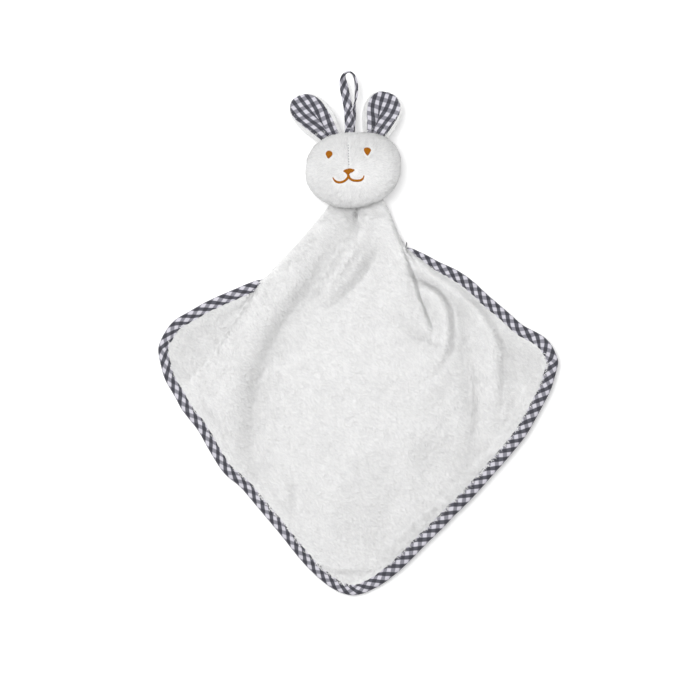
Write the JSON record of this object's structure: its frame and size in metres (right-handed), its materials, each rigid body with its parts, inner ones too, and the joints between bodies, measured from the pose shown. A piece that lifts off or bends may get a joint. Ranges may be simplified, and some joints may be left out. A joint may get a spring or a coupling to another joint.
{
  "type": "comfort blanket lovey",
  "caption": "Plush rabbit head with gingham-lined ears and a hanging loop, sewn to the gathered corner of a soft square blanket bound in gingham.",
  "frame": {"origin": "on the surface that the blanket lies on, under its flat middle and in line with the neck", "axes": "+X across the blanket to the viewer's right, +Y up the toy to the head, +Z out of the surface it lies on"},
  "size_m": [0.3597, 0.4738, 0.043],
  "materials": {
    "white_plush": "short-pile white plush",
    "white_filling": "loose fibre filling",
    "grey_gingham": "matt woven cotton check in dark grey and white",
    "grey_thread": "grey sewing thread",
    "brown_thread": "satin-stitched brown embroidery thread"
  },
  "bodies": {
    "blanket": {"blanket_cloth": "white_plush", "edge_binding": "grey_gingham", "binding_stitching": "grey_thread"},
    "head": {"face_left_panel": "white_plush", "face_right_panel": "white_plush", "head_back_panel": "white_plush", "head_filling": "white_filling", "face_seam_thread": "grey_thread", "neck_closing_stitch": "grey_thread", "left_eye": "brown_thread", "right_eye": "brown_thread", "nose": "brown_thread", "mouth": "brown_thread"},
    "left_ear": {"left_ear_back": "white_plush", "left_ear_lining": "grey_gingham"},
    "right_ear": {"right_ear_back": "white_plush", "right_ear_lining": "grey_gingham"},
    "loop": {"hanging_loop": "grey_gingham", "loop_bar_tack": "grey_thread"}
  },
  "joints": [
    {"name": "neck_nod", "type": "hinge", "parent": "blanket", "child": "head", "pos_m": [0, 0.28, 0.018], "axis": [1, 0, 0], "range_deg": [-60, 70]},
    {"name": "left_ear_fold", "type": "hinge", "parent": "head", "child": "left_ear", "pos_m": [-0.02723, 0.34653, 0.018], "axis": [0.9335, 0.3586, 0], "range_deg": [-70, 75], "stiffness_Nm_per_rad": 0.02},
    {"name": "right_ear_fold", "type": "hinge", "parent": "head", "child": "right_ear", "pos_m": [0.02286, 0.34681, 0.018], "axis": [0.9406, -0.3396, 0], "range_deg": [-70, 75], "stiffness_Nm_per_rad": 0.02},
    {"name": "loop_swing", "type": "hinge", "parent": "head", "child": "loop", "pos_m": [-0.00524, 0.35013, 0.018], "axis": [0.9999, 0.0136, 0], "range_deg": [-75, 75], "stiffness_Nm_per_rad": 0.004}
  ]
}
